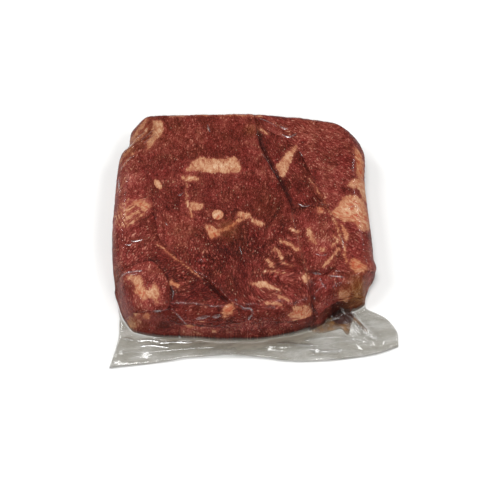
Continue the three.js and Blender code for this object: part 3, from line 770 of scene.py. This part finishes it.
def closed_piece(name, faces, top, bottom, values, material):
    """A closed body between two surfaces that meet at its rim."""
    used = np.zeros(len(top), bool)
    used[np.concatenate([np.array(f) for f in faces])] = True
    apart = used & ~rim_points(faces, len(top))
    top_id = np.cumsum(used) - 1
    bottom_id = np.where(apart, used.sum() + np.cumsum(apart) - 1, top_id)
    points = np.concatenate([top[used], bottom[apart]])
    both = {key: np.concatenate([v[used], v[apart]]) for key, v in values.items()}
    tops = [tuple(top_id[list(f)]) for f in faces]
    bottoms = [tuple(bottom_id[list(f[::-1])]) for f in faces]
    return new_piece(name, points, tops + bottoms, both, material)


def under_round(k, g, inside):
    """Height of the underside of a steak of the upper layer, rounded in from its edge."""
    rim = steak_height(STEAKS[k], g) - STEAK_ROUND * firmness(STEAKS[k], g)
    return lerp(rim, g.meet + LAYER_GAP, quarter_round(inside / UNDER_ROUND))


def steaks_over(k):
    return range(k + 1, len(STEAKS))


def own_distance(k, g):
    """Distance inside a steak's real edge: its outline, less what steaks over it press away."""
    distance = g.inside[k]
    for i in steaks_over(k):
        if STEAKS[k].layer == UPPER:
            distance = np.minimum(distance, TUCK - g.inside[i])
        elif STEAKS[i].layer == LOWER:
            distance = np.minimum(distance, -g.inside[i] - LEAST)
    return distance


def steak_top(k, g):
    """Height of a steak's upper surface, where it shows and where others lie on it."""
    steak, shown = STEAKS[k], g.top
    if steak.layer == UPPER:
        top = steak_height(steak, g)
        top = top - edge_drop(np.maximum(own_distance(k, g), 0), firmness(steak, g))
        for i in steaks_over(k):
            top = top - crease(g.inside[i], firmness(STEAKS[i], g))
        shown = lerp(g.edge_z, lerp(0.3, top, quarter_round(wall_reach(g))), g.rise)
    for i in steaks_over(k):
        if STEAKS[i].layer == LOWER:
            continue
        cover = under_round(i, g, g.inside[i] - SEAM_OVERLAP) - LAYER_GAP
        if steak.layer == LOWER:
            cover = under_round(i, g, g.inside[i]) + np.where(wall_reach(g) < 0.9, 0.4, -LAYER_GAP)
            cover = lerp(lower_side(g) + LEAST, cover, past_rim(g))
        shown = np.where(g.inside[i] > 0, np.minimum(shown, cover), shown)
    return np.minimum(shown, g.top)


def lower_side(g):
    return lerp(g.edge_z, 0, g.rise)


def past_rim(g):
    """0 round the block's outside, where hidden faces keep close to the ones that show, 1 inside."""
    return smoothstep(g.rise, 0.4, 0.8)


def steak_level(k, g):
    """Above zero where a steak has any thickness."""
    level = np.minimum(own_distance(k, g), wall_reach(g) * 10 + 0.01)
    if STEAKS[k].layer == UPPER:
        wall = lerp(g.edge_z, general_top(g) * quarter_round(wall_reach(g)), g.rise)
        level = np.minimum(level, np.where(g.rise < 1, 1, wall - g.meet - 0.2))
    return level


def fat_distance(x, y, z, layer):
    """Distance inside the nearest fat, negative in the lean."""
    if layer == LOWER:
        inside = [radius - np.sqrt((x - a) ** 2 + (y - b) ** 2 + (z - c) ** 2)
                  for a, b, c, radius in LUMPS]
    else:
        wx, wy = x + 0.7 * noise(x, y, 3, 11), y + 0.7 * noise(x, y, 3, 12)
        inside = [inside_distance(wx, wy, smooth_line(patch, True)) for patch in PATCHES]
        inside += [half - line_distance(wx, wy, line) for line, half in STREAKS]
        inside += [oval_distance(x, y, *oval) for oval in OVALS]
    return np.clip(np.max(inside, axis=0), -FAT_LIMIT, FAT_LIMIT)


def grain_field(x, y, steak):
    """Distances along and across the grain, which turns and bends from place to place."""
    field = np.array(turned(x, y, steak.grain))
    for a, b, radius, degrees in TURNS.get(steak.at, []):
        middle = np.array(turned(a, b, steak.grain))[:, None]
        share = np.exp(-((x - a) ** 2 + (y - b) ** 2) / radius**2)
        field = lerp(field, middle + turned(x - a, y - b, degrees), share)
    return field[0] + 2.5 * noise(x, y, 17, 31), field[1] + 2 * noise(x, y, 12, 32)


def layer_groove(g, z):
    """1 where the two layers meet in the wall at the back, fading out above, below and forward."""
    level = np.exp(-(((z - g.meet) / LAYER_GROOVE) ** 2))
    return level * (1 - g.up[2]) * (g.rise > 0.99) * smoothstep(g.y, -30, 0)


def build_steak(k, g):
    steak = STEAKS[k]
    near, faces = cut(g, steak_level(k, g))
    x, y = near.x, near.y
    along, across = grain_field(x, y, steak)
    relief = FINE_RELIEF * (1 + noise(along / 4, across, 1.3, 20 + k))
    relief += BROAD_RELIEF * (1 + noise(along, across, 2.2, 40))
    top = steak_top(k, near)
    inset = (FILM_GAP + relief + MEAT_GROOVE * layer_groove(near, top)) * near.up
    upper = points_at(near, top, inset)
    if steak.layer == UPPER:
        under = np.minimum(under_round(k, near, own_distance(k, near)), top - LEAST)
        under = lerp(top - LEAST, under, past_rim(near))
        lower = points_at(near, under, inset * (1 - past_rim(near)))
        lower[:, 2] = under
    else:
        under = np.minimum(lower_side(near), top)
        lower = points_at(near, under, (FILM_GAP + 0.6 * relief) * near.down)
    for side in (upper, lower):
        side[:, 0] = np.clip(side[:, 0], left_x(y) + FILM_GAP, right_x(y) - FILM_GAP)
    values = dict(grain=np.stack([along, across, top], -1),
                  fat=fat_distance(x, y, top, steak.layer))
    values |= {name: blobs((x, y, top), spots[steak.layer]) for name, spots in SPOTS.items()}
    # Painted shade: each steak is darkened just beside the edge of every steak lying over it
    for i in steaks_over(k):
        crease_shade = firmness(STEAKS[i], near) * np.exp(-((near.inside[i] / 2) ** 2))
        values["tone_and_shade"] -= PAINTED_CREASE_SHADE * crease_shade
    name = "steak_" + steak.at
    closed_piece(name, faces, upper, lower, values, raw_beef(name, steak))


def build_film(g):
    groove = FILM_GROOVE * layer_groove(g, g.top) * (wall_reach(g) > 0.02)
    upper, lower = points_at(g, g.top, groove * g.up), points_at(g, g.bottom)
    loose = 1 - smoothstep(wall_reach(g), -0.12, 0.0)
    # Painted shadow of the block: along the middle of its front foot, loose goes past 1, which makes
    # the margin film's haze thicker and darker
    shaded = np.exp(-((g.front / 7) ** 2)) * smoothstep(g.x, -78, -55) * smoothstep(-g.x, -60, -30)
    dry = 1 - 0.8 * smoothstep(g.juice, -1.5, 1.5)
    values = dict(loose=(loose * (1 + shaded) * dry).ravel())
    faces = grid_faces(*g.x.shape)
    film = closed_piece("bag_film", faces, upper, lower, values, clear_film())
    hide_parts("vacuum_bag")


def build_juice(g):
    near, faces = cut(g, np.minimum(g.juice, 10 * np.minimum(0.05 - wall_reach(g), 0.3)))
    height = np.minimum(near.top - 0.2, near.bottom + 0.35 + 0.25 * np.clip(near.juice, 0, 3))
    upper = points_at(near, np.maximum(height, near.bottom + 0.2))
    lower = points_at(near, near.bottom + 0.12)
    values = dict(deep=blobs((near.x, near.y), POOL))
    closed_piece("juice", faces, upper, lower, values, meat_juice())


def build_wrinkles(g):
    """Narrow ridges of film along the tight wrinkles."""
    ridges, faces = [], []
    out = np.linspace(-1, 1, WRINKLE_COLUMNS)
    heights = WRINKLE_SLOPE * (1 - np.abs(out) ** WRINKLE_CURVE) - WRINKLE_SINK
    for number, (line, half) in enumerate(WRINKLES):
        path = smooth_line(line, False)
        steps = np.r_[0, np.cumsum(np.hypot(*np.diff(path, axis=0).T))]
        length = steps[-1]
        s = np.linspace(0, length, max(int(length / WRINKLE_STEP), 6))
        x, y = np.interp(s, steps, path[:, 0]), np.interp(s, steps, path[:, 1])
        tx, ty = np.array([np.gradient(x), np.gradient(y)])[..., None]
        size = half * np.sqrt(np.clip(np.minimum(s, length - s) / WRINKLE_TAPER, 0, 1))
        size = (size * (0.8 + 0.2 * noise(s, np.full_like(s, number), 2.5, 60)))[:, None]
        off = size * out / np.hypot(tx, ty)
        ridge = np.stack([x[:, None] - ty * off, y[:, None] + tx * off, size * heights], -1)
        faces += grid_faces(*off.shape, first=sum(map(len, ridges)))
        ridges.append(ridge.reshape(-1, 3))
    points = np.concatenate(ridges)
    x, y = points[:, 0], points[:, 1]
    points[:, 2] += height_at(x, y, g, g.top)
    values = dict(loose=1 - smoothstep(foot_distance(x, y, front_foot, 1), -2, 1))
    new_piece("film_wrinkles", points, faces, values, clear_film_wrinkle())


def height_at(x, y, g, z):
    """Height of a surface of the grid at any points, from the nearest of the grid's own points."""
    tree = KDTree(g.x.size)
    for index, place in enumerate(zip(g.x.flat, g.y.flat)):
        tree.insert((*place, 0), index)
    tree.balance()
    heights = []
    for place in zip(x, y):
        found = tree.find_n((*place, 0), 4)
        weights = [1 / (away**2 + 1e-4) for _, _, away in found]
        heights.append(np.average([z.flat[index] for _, index, _ in found], weights=weights))
    return np.array(heights)


# Materials

class Nodes:
    """Short ways to add and join shader nodes."""

    def __init__(self, name):
        self.material = bpy.data.materials.new(name)
        self.material.use_nodes = True
        self.tree = self.material.node_tree
        self.tree.nodes.clear()

    def add(self, kind, inputs, **settings):
        """A node with its inputs, by name or number, set to values or joined to other sockets."""
        node = self.tree.nodes.new("ShaderNode" + kind)
        for key, value in settings.items():
            setattr(node, key, value)
        for key, value in dict(inputs).items():
            socket = node.inputs[key]
            if isinstance(value, bpy.types.NodeSocket):
                self.tree.links.new(value, socket)
            else:
                socket.default_value = (*value, 1) if socket.type == "RGBA" else value
        return node.outputs

    def math(self, operation, *inputs, clamp=False):
        return self.add("Math", enumerate(inputs), operation=operation, use_clamp=clamp)[0]

    def mix(self, share, a, b, blend="MIX"):
        return self.add("Mix", {0: share, 6: a, 7: b}, data_type="RGBA", blend_type=blend)[2]

    def ramp(self, value, low, high, to_low=0.0, to_high=1.0):
        inputs = enumerate((value, low, high, to_low, to_high))
        return self.add("MapRange", inputs, interpolation_type="SMOOTHSTEP")[0]

    def value(self, name, output="Fac"):
        return self.add("Attribute", {}, attribute_name=name)[output]

    def total(self, start, *terms):
        """start plus, for each (socket, middle, weight), weight times the socket's rise over middle."""
        result = start - sum(middle * weight for _, middle, weight in terms)
        for socket, _, weight in terms:
            result = self.math("MULTIPLY_ADD", socket, weight, result)
        return result

    def shades(self, value, stops):
        """The colours of the stops, each a position and a colour, for a value."""
        colour = self.add("ValToRGB", {0: value})[0]
        elements = colour.node.color_ramp.elements
        while len(elements) < len(stops):
            elements.new(0.5)
        for element, (position, shade) in zip(elements, stops):
            element.position = position
            element.color = (*shade, 1)
        return colour

    def stretch(self, where, factors):
        return self.add("VectorMath", {0: where, 1: factors}, operation="MULTIPLY")[0]

    def place(self, turn=0.0, factors=(1, 1, 1)):
        """The object's own coordinates in millimetres, turned about z and stretched."""
        where = self.add("TexCoord", {})["Object"]
        inputs = {"Vector": where, "Rotation": (0, 0, -turn), "Scale": (1 / MM,) * 3}
        return self.stretch(self.add("Mapping", inputs)[0], factors)

    def noise(self, where, scale, detail=2.0, roughness=0.5, distortion=0.0):
        inputs = {"Vector": where, "Scale": scale, "Detail": detail, "Roughness": roughness,
                  "Distortion": distortion}
        return self.add("TexNoise", inputs)["Fac"]

    def bump(self, height, strength, distance):
        return self.add("Bump", {"Height": height, "Strength": strength, "Distance": distance})[0]

    def finish(self, shader, inputs):
        """The material, whose surface is this shader with these inputs."""
        self.add("OutputMaterial", {"Surface": self.add(shader, inputs)[0]})
        return self.material


LEAN = [(0, (0.026, 0.002, 0.001)), (0.2, (0.062, 0.007, 0.004)), (0.4, (0.118, 0.016, 0.011)),
        (0.6, (0.205, 0.037, 0.028)), (0.8, (0.325, 0.10, 0.07)), (1, (0.47, 0.225, 0.155))]
FAT = [(0, (0.21, 0.038, 0.023)), (0.25, (0.32, 0.11, 0.058)), (0.5, (0.43, 0.20, 0.107)),
       (0.75, (0.52, 0.295, 0.175)), (1, (0.64, 0.45, 0.31))]
BROWN = [(0.1, (0.08, 0.02, 0.005)), (0.5, (0.155, 0.046, 0.010)), (0.9, (0.40, 0.22, 0.10))]
FLECK, FAT_EDGE, VEIN = (0.42, 0.23, 0.16), (0.30, 0.07, 0.045), (0.38, 0.085, 0.045)
COOL, WARM, ORANGE = (1.0, 0.62, 0.72), (0.9, 1.15, 0.9), (0.9, 0.58, 0.42)
# The second haze colour is painted shadow, used where the margin film lies along the block's front foot
HAZE, PAINTED_SHADOW_HAZE = (0.31, 0.29, 0.24), (0.17, 0.145, 0.115)
AMBER, PALE_AMBER, PLUM = (0.15, 0.06, 0.015), (0.30, 0.145, 0.045), (0.035, 0.007, 0.006)


def raw_beef(name, steak):
    """Beef whose lean is shaded by patches, grain and pale cuts, with ragged fat and brown juice."""
    n = Nodes(name)
    upright = 0.35 if steak.layer == LOWER else 1.0
    grain = n.value("grain", "Vector")
    fibre = n.noise(n.stretch(grain, (0.42, 1.0, upright)), 0.95, 4, 0.7, 0.5)
    rope = n.noise(n.stretch(grain, (0.16, 0.7, upright)), 0.8, 3, 0.6, 0.7)
    mottle = n.noise(n.stretch(grain, (0.7, 1, 1)), 0.22, 5, 0.68, 0.3)
    cloud = n.noise(grain, 0.055, 3, 0.6)
    fine = n.noise(n.stretch(grain, (0.8, 1, 1)), 1.1, 3, 0.7)
    cuts = n.noise(n.stretch(grain, (0.5, 0.95, 0.7)), 1.0, 1, 0.5, 0.4)
    flecked = n.value("flecked")

    shade = n.total(0.41 + 0.6 * (steak.light - 1), (fibre, 0.5, 0.85), (mottle, 0.5, 0.75),
                    (cloud, 0.5, 0.75), (fine, 0.5, 1.05), (n.value("tone_and_shade"), 0, 1))
    cut = n.ramp(n.total(0, (cuts, 0, 1), (flecked, 0, 0.05)), 0.6, 0.72, 0, 0.34)
    pale_rope = n.math("MULTIPLY", n.ramp(rope, 0.5, 0.68, 0, 0.36), n.value("ropes"))
    lean = n.shades(n.total(0, (shade, 0, 1), (pale_rope, 0, 1), (cut, 0, 1)), LEAN)

    cells = {"Vector": n.stretch(grain, (0.6, 1.0, 0.8)), "Scale": 0.62}
    away, chance = n.add("TexVoronoi", cells)[:2]
    chosen = n.ramp(n.total(0, (chance, 0, 1), (flecked, 0, 0.2), (mottle, 0.5, 0.5)), 0.64, 0.86)
    fleck = n.math("MULTIPLY", n.ramp(away, 0.05, 0.34, 0.75, 0), chosen)
    lean = n.mix(fleck, lean, FLECK)
    hue = n.noise(grain, 0.09, 3, 0.6, 0.4)
    lean = n.mix(n.ramp(hue, 0.5, 0.66, 0, 0.5), lean, COOL, "MULTIPLY")
    lean = n.mix(n.ramp(hue, 0.36, 0.5, 0.5, 0), lean, WARM, "MULTIPLY")

    depth, orange = n.value("fat"), n.value("orange")
    edge = n.noise(grain, 0.5, 5, 0.7)
    fringe = n.noise(n.stretch(grain, (0.4, 1.6, 1)), 0.8, 2, 0.6)
    veins = n.noise(n.stretch(grain, (0.6, 1, 1)), 0.3, 6, 0.72, 0.9)
    inside = n.total(0, (depth, 0, 1), (edge, 0.5, 4.5), (fringe, 0.5, 3.5),
                     (n.ramp(veins, 0.56, 0.72), 0, -2.2))
    fat = n.shades(n.total(0.42, (veins, 0.5, -2.2), (fibre, 0.5, 0.7), (fine, 0.5, 0.9),
                           (inside, 1, 0.04)), FAT)
    veined = n.math("MULTIPLY", n.ramp(depth, 0, 3), n.ramp(orange, 0.05, 0.2))
    vein = n.math("MULTIPLY", n.ramp(veins, 0.5, 0.57, 0, 0.95), veined)
    fat = n.mix(vein, fat, VEIN)
    colour = n.mix(n.ramp(inside, -2.2, 0.3, 0, 0.4), lean, FAT_EDGE)
    colour = n.mix(n.ramp(inside, -0.15, 0.5), colour, fat)

    orange = n.math("MULTIPLY", orange, n.ramp(inside, -1.5, 0.5, 0.15, 0.75), clamp=True)
    colour = n.mix(orange, colour, ORANGE, "MULTIPLY")
    brown = n.shades(n.total(0.5, (fibre, 0.5, 1), (mottle, 0.5, 1.6)), BROWN)
    colour = n.mix(n.math("MULTIPLY", n.value("brown"), 0.85, clamp=True), colour, brown)
    height = n.total(0, (fibre, 0.5, 1), (fine, 0.5, 0.5))
    return n.finish("BsdfPrincipled", {
        "Base Color": colour, "Roughness": n.ramp(fine, 0.3, 0.7, 0.4, 0.55),
        "Specular IOR Level": 0.06, "Normal": n.bump(height, 0.5, 0.0006)})


def film_shader(name, roughness, ior, tight, slack):
    """Clear film, with the haze, the gloss and the most gloss of tight and of slack film."""
    n = Nodes(name)
    loose = n.value("loose")
    normal = n.bump(n.noise(n.place(), 0.3, 2, 0.5, 0.6), 0.12, 0.0010)
    hazy, shiny, most = (n.ramp(loose, 0, 1, low, high) for low, high in zip(tight, slack))
    cloudy = n.ramp(n.noise(n.place(0.1, (0.45, 1.5, 1)), 0.13, 4, 0.6), 0.3, 0.7, 0.65, 1.35)
    # Where loose goes past 1, along the block's front foot, more and darker haze paints the block's
    # shadow on the margin
    amount = n.math("MULTIPLY", n.math("ADD", hazy, n.ramp(loose, 1, 2, 0, 0.8)), cloudy)
    grey = n.mix(n.ramp(loose, 1, 2), HAZE, PAINTED_SHADOW_HAZE)
    clear, haze = n.add("BsdfTransparent", {})[0], n.add("BsdfDiffuse", {"Color": grey})[0]
    veiled = n.add("MixShader", {0: amount, 1: clear, 2: haze})[0]
    gloss = n.add("BsdfGlossy", {"Roughness": roughness, "Normal": normal})[0]
    fresnel = n.add("Fresnel", {"IOR": ior, "Normal": normal})[0]
    shine = n.math("MINIMUM", n.math("MULTIPLY", fresnel, shiny), most)
    return n.finish("MixShader", {0: shine, 1: veiled, 2: gloss})


def clear_film():
    return film_shader("clear_film", 0.1, 1.16, (0.003, 1, 0.03), (0.36, 7, 0.4))


def clear_film_wrinkle():
    return film_shader("clear_film_wrinkle", 0.24, 1.5, (0.004, 3.2, 0.4), (0.1, 4, 0.6))


def meat_juice():
    """Thin amber juice, dark plum where it is deep."""
    n = Nodes("meat_juice")
    shade = n.ramp(n.noise(n.place(), 0.2, 3, 0.6), 0.35, 0.65)
    deep = n.ramp(n.value("deep"), 0.2, 0.7)
    amber = n.mix(shade, AMBER, PALE_AMBER)
    return n.finish("BsdfPrincipled", {
        "Base Color": n.mix(deep, amber, PLUM), "Roughness": 0.2,
        "Alpha": n.total(0.42, (shade, 0, 0.25), (deep, 0, 0.45))})


# Camera, lights and floor

def place_facing(name, data, location, target):
    """An object at a place in metres, looking at a target."""
    thing = bpy.data.objects.new(name, data)
    thing.location = location
    thing.rotation_euler = (Vector(location) - Vector(target)).to_track_quat("Z", "Y").to_euler()
    bpy.context.scene.collection.objects.link(thing)
    return thing


def add_camera():
    """Looks down on the front, from the photograph's side and height."""
    data = bpy.data.cameras.new("camera")
    data.lens = CAMERA_LENS
    rise = math.radians(CAMERA_ELEVATION)
    aim = Vector(CAMERA_AIM) * MM
    location = aim + CAMERA_DISTANCE * MM * Vector((0, -math.cos(rise), math.sin(rise)))
    bpy.context.scene.camera = place_facing("camera", data, location, aim)


def add_studio():
    world = bpy.data.worlds.new("studio")
    world.use_nodes = True
    background = world.node_tree.nodes["Background"]
    background.inputs["Color"].default_value = (1, 1, 1, 1)
    background.inputs["Strength"].default_value = WORLD_LIGHT
    bpy.context.scene.world = world
    for name, location, size, watts in LAMPS:
        data = bpy.data.lights.new(name, "AREA")
        data.size = size
        data.energy = watts
        place_facing(name, data, location, (0, 0, 0))
    bpy.context.scene.view_settings.view_transform = "Standard"

    bpy.ops.mesh.primitive_plane_add(size=6, location=(0, 0, -0.0003))
    floor = bpy.context.object
    floor.name = "floor"
    paint = {"Base Color": (0.85, 0.85, 0.84), "Roughness": 0.8}
    floor.data.materials.append(Nodes("floor").finish("BsdfPrincipled", paint))


add_camera()
add_studio()
grid = shared_grid()
CENTRE = np.array([(grid.x.min() + grid.x.max()) / 2, (grid.y.min() + grid.y.max()) / 2,
                   grid.bottom.min()])

build_film(grid)
build_wrinkles(grid)
build_juice(grid)
for number in range(len(STEAKS)):
    build_steak(number, grid)
